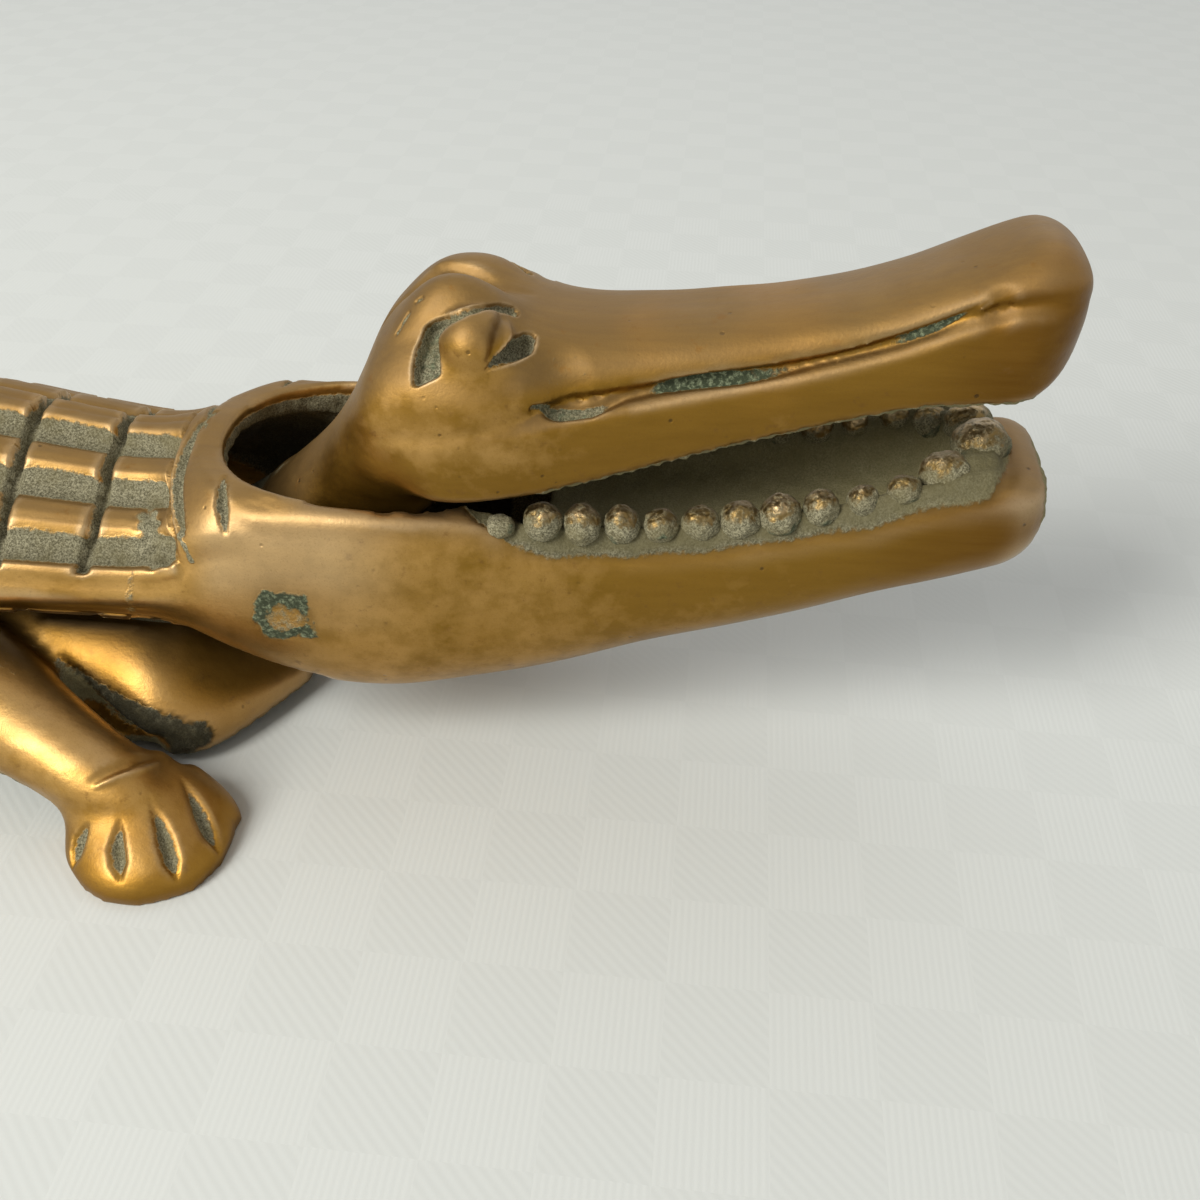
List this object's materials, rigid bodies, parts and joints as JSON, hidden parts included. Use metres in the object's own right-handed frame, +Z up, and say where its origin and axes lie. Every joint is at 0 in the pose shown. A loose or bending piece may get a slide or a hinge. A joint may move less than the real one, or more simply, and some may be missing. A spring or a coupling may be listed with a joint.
{
  "type": "figural nutcracker",
  "caption": "Crocodile nutcracker of cast brass: pressing the tail down closes the hinged lower jaw against the fixed upper jaw.",
  "frame": {"origin": "centre of the bounding box's bottom face, on the table under the belly", "axes": "+X to the snout, +Y to the crocodile's left, +Z up"},
  "size_m": [0.331, 0.103, 0.0823],
  "materials": {
    "body_brass": "worn cast brass with grey-green patina in the recesses",
    "head_brass": "worn cast brass with pale green deposit in the grooves",
    "leg_brass": "worn cast brass, dark in the recesses",
    "pin_brass": "dull brass with a green rim",
    "screw_steel": "dull steel"
  },
  "bodies": {
    "stand": {"leg_frame": "leg_brass", "head_casting": "head_brass", "neck_screw_front": "screw_steel", "neck_screw_rear": "screw_steel"},
    "lever": {"body_casting": "body_brass", "pivot_pin": "pin_brass"}
  },
  "joints": [
    {"name": "jaw_hinge", "type": "hinge", "parent": "stand", "child": "lever", "pos_m": [0.0635, 0, 0.029], "axis": [0, 1, 0], "range_deg": [0, 16]}
  ]
}
